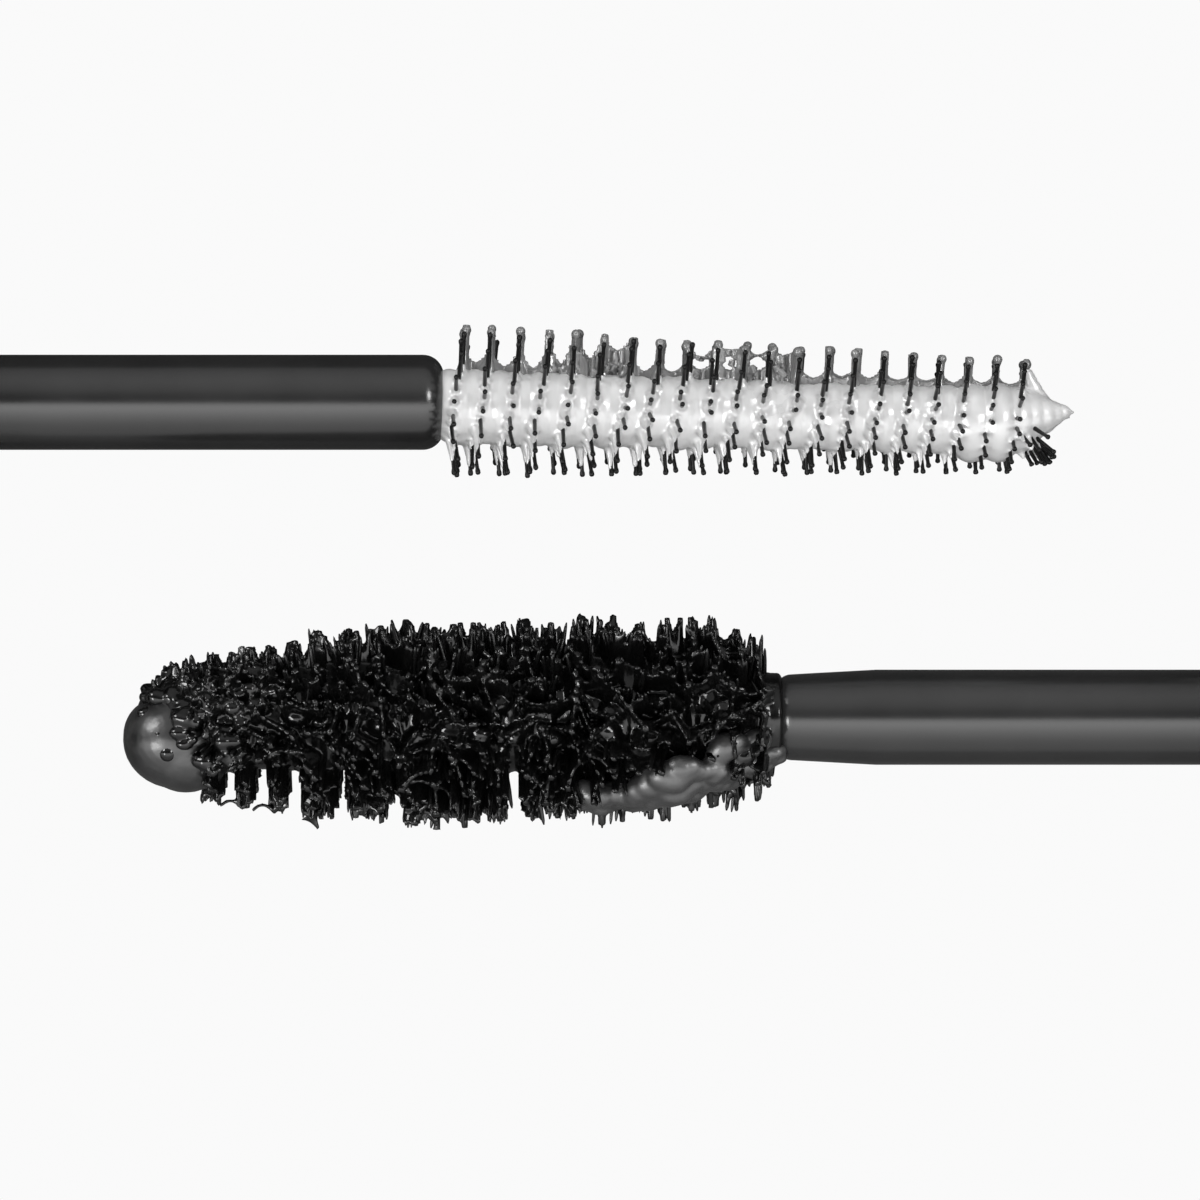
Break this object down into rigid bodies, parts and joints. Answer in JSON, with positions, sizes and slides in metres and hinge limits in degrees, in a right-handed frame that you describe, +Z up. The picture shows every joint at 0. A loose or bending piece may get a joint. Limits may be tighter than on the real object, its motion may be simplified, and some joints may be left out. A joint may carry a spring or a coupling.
{
  "type": "mascara tube",
  "caption": "Dual-ended mascara tube, uncoupled and drawn open: primer and mascara halves, each with a threaded bottle, wiper and cap wand with a loaded brush.",
  "frame": {"origin": "middle of the bounding box, on the plane the two halves lie on", "axes": "+X along both wands, the way the primer brush points; +Y from the mascara lane to the primer lane; +Z up"},
  "size_m": [0.1996, 0.027, 0.0132],
  "materials": {
    "primer_casing_plastic": "satin pearl",
    "mascara_casing_plastic": "satin black",
    "bottle_plastic": "milky",
    "metal_trim": "satin anodised",
    "wiper_elastomer": "matt",
    "gasket_rubber": "matt",
    "stem_plastic": "fine satin grain",
    "liner_plastic": "matt",
    "brush_elastomer": "satin",
    "primer_cream": "creamy, glossy",
    "mascara_cream": "wet gloss",
    "fibre_nylon": "coated fibres",
    "core_wire": "drawn wire"
  },
  "bodies": {
    "primer_half": {"primer_bottle": "bottle_plastic", "primer_casing": "primer_casing_plastic", "primer_shoulder_ring": "metal_trim", "primer_wiper": "wiper_elastomer", "primer_formula": "primer_cream", "primer_base_plug": "primer_casing_plastic", "primer_centre_band": "metal_trim"},
    "primer_gasket": {"primer_gasket": "gasket_rubber"},
    "primer_wand": {"primer_cap_shell": "primer_casing_plastic", "primer_cap_liner": "liner_plastic", "primer_cap_end": "metal_trim", "primer_stem": "stem_plastic", "primer_brush": "brush_elastomer", "primer_coat": "primer_cream"},
    "mascara_half": {"mascara_bottle": "bottle_plastic", "mascara_casing": "mascara_casing_plastic", "mascara_shoulder_ring": "metal_trim", "mascara_wiper": "wiper_elastomer", "mascara_formula": "mascara_cream", "mascara_base_socket": "mascara_casing_plastic"},
    "mascara_gasket": {"mascara_gasket": "gasket_rubber"},
    "mascara_wand": {"mascara_cap_shell": "mascara_casing_plastic", "mascara_cap_liner": "liner_plastic", "mascara_cap_end": "metal_trim", "mascara_stem": "stem_plastic", "mascara_wire": "core_wire", "mascara_bristles": "fibre_nylon", "mascara_coat": "mascara_cream"}
  },
  "joints": [
    {"name": "halves_apart", "type": "slide", "parent": "primer_half", "child": "mascara_half", "axis": [-1, 0, 0], "range_m": [0, 0.04]},
    {"name": "primer_draw", "type": "slide", "parent": "primer_half", "child": "primer_gasket", "axis": [1, 0, 0], "range_m": [0, 0.0674], "deforming": ["primer_brush", "primer_coat", "primer_wiper", "primer_formula"]},
    {"name": "primer_cap_turn", "type": "hinge", "parent": "primer_gasket", "child": "primer_wand", "pos_m": [-0.02865, 0.00685, 0.0066], "axis": [1, 0, 0], "range_deg": [0, 540]},
    {"name": "mascara_draw", "type": "slide", "parent": "mascara_half", "child": "mascara_gasket", "axis": [-1, 0, 0], "range_m": [0, 0.0681], "deforming": ["mascara_bristles", "mascara_coat", "mascara_wiper", "mascara_formula"]},
    {"name": "mascara_cap_turn", "type": "hinge", "parent": "mascara_gasket", "child": "mascara_wand", "pos_m": [0.02815, -0.00685, 0.0066], "axis": [-1, 0, 0], "range_deg": [0, 540]}
  ]
}
